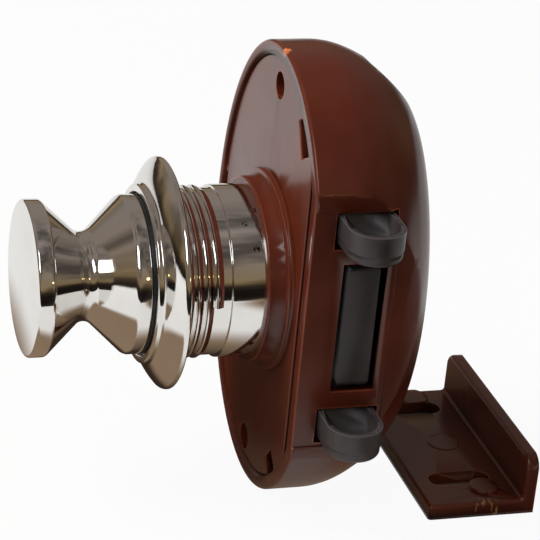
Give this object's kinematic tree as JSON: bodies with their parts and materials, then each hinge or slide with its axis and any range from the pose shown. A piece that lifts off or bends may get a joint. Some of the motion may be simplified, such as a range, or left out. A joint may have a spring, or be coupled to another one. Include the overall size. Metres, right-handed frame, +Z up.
{
  "type": "cabinet lock",
  "caption": "Push lock for a cabinet door: oval moulded case with sprung twin tongues, chrome push knob on a threaded sleeve with a clamp ring, and an L-shaped keeper.",
  "frame": {"origin": "on the knob's axis, in the plane of the case's front rim, which lies against the door", "axes": "-Y out of the door along the knob, +X the way the tongues point, +Z up"},
  "size_m": [0.0548, 0.0771, 0.0694],
  "materials": {
    "brown_plastic": "glossy reddish brown moulding",
    "grey_plastic": "satin dark grey moulding",
    "black_plastic": "black moulding",
    "chrome": "bright plating over turned brass",
    "spring_steel": "plain steel"
  },
  "bodies": {
    "root": {"case": "brown_plastic", "cover_plate": "brown_plastic", "sleeve": "chrome", "rosette": "chrome", "guide_disc": "spring_steel", "retaining_ring": "spring_steel", "follower_leaf": "spring_steel", "knob_spring": "spring_steel", "latch_spring_upper": "spring_steel", "latch_spring_lower": "spring_steel", "keeper": "brown_plastic"},
    "knob": {"knob": "chrome", "knob_bush": "black_plastic", "knob_stud": "spring_steel", "plunger": "grey_plastic", "stop_ring": "spring_steel"},
    "latch": {"latch_slide": "grey_plastic"},
    "follower": {"cam_follower": "spring_steel"}
  },
  "joints": [
    {"name": "knob_press", "type": "slide", "parent": "root", "child": "knob", "axis": [0, 1, 0], "range_m": [0, 0.008], "stiffness_N_per_m": 400, "springref_m": -0.006, "deforming": ["knob_spring"]},
    {"name": "latch_retract", "type": "slide", "parent": "root", "child": "latch", "axis": [-1, 0, 0], "range_m": [0, 0.0078], "stiffness_N_per_m": 300, "springref_m": -0.006, "deforming": ["latch_spring_upper", "latch_spring_lower"]},
    {"name": "follower_swing", "type": "hinge", "parent": "root", "child": "follower", "pos_m": [-0.0054, 0.015, 0], "axis": [-1, 0, 0], "range_deg": [0, 17.06]}
  ]
}
